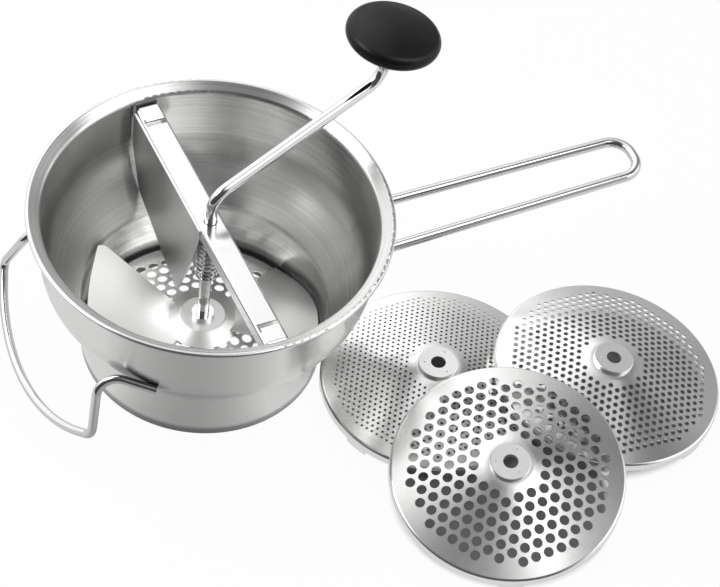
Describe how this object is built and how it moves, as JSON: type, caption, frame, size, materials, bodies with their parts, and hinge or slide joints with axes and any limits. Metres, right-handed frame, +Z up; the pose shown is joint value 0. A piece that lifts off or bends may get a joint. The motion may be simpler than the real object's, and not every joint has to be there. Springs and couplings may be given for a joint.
{
  "type": "food mill",
  "caption": "Hand-cranked food mill: a flared steel bowl with a long handle and a pot rest, a sprung blade turning over a sieve, and spare sieve discs beside it",
  "frame": {"origin": "on the bowl's axis, at the height of the floor it stands on", "axes": "+Z up along the bowl's axis, +X along the long handle, the support handle at -X, the crossbar along Y"},
  "size_m": [0.4514, 0.386, 0.2182],
  "materials": {
    "bowl_steel": "brushed round the axis",
    "polished_steel": "polished",
    "weld_steel": "ground weld",
    "blade_steel": "smooth rolled sheet",
    "sieve_steel": "satin pressed sheet",
    "spring_steel": "drawn wire",
    "knob_plastic": "satin gloss"
  },
  "bodies": {
    "mill": {"bowl": "bowl_steel", "long_handle": "polished_steel", "support_handle": "polished_steel", "handle_welds": "weld_steel", "crossbar": "polished_steel", "hook_rear": "polished_steel", "hook_front": "polished_steel", "deflector_plate": "blade_steel", "upper_washer": "polished_steel", "spring": "spring_steel", "sieve_disc": "sieve_steel", "sieve_pivot": "polished_steel"},
    "spring_seat": {"lower_washer": "polished_steel"},
    "crank": {"crank": "polished_steel", "shaft_pin": "polished_steel", "hub_ring": "polished_steel", "blade": "blade_steel", "knob_stop_ring": "polished_steel"},
    "knob": {"knob": "knob_plastic"},
    "spare_fine": {"spare_fine_disc": "sieve_steel", "spare_fine_pivot": "polished_steel"},
    "spare_medium": {"spare_medium_disc": "sieve_steel", "spare_medium_pivot": "polished_steel"},
    "spare_coarse": {"spare_coarse_disc": "sieve_steel", "spare_coarse_pivot": "polished_steel"}
  },
  "joints": [
    {"name": "blade_lift", "type": "slide", "parent": "mill", "child": "spring_seat", "axis": [0, 0, 1], "range_m": [0, 0.003], "stiffness_N_per_m": 1500, "springref_m": -0.01, "deforming": ["spring"]},
    {"name": "crank_spin", "type": "hinge", "parent": "spring_seat", "child": "crank", "pos_m": [0, 0, 0.0676], "axis": [0, 0, 1], "continuous": true},
    {"name": "knob_spin", "type": "hinge", "parent": "crank", "child": "knob", "pos_m": [0.13346, 0.03701, 0.171], "axis": [0.1673, 0.0464, 0.9848], "continuous": true},
    {"name": "spare_fine_lift", "type": "slide", "parent": "mill", "child": "spare_fine", "axis": [0, 0, 1], "range_m": [0, 0.025]},
    {"name": "spare_medium_lift", "type": "slide", "parent": "spare_fine", "child": "spare_medium", "axis": [0, 0, 1], "range_m": [0, 0.06]},
    {"name": "spare_coarse_lift", "type": "slide", "parent": "spare_medium", "child": "spare_coarse", "axis": [0, 0, 1], "range_m": [0, 0.06]}
  ]
}
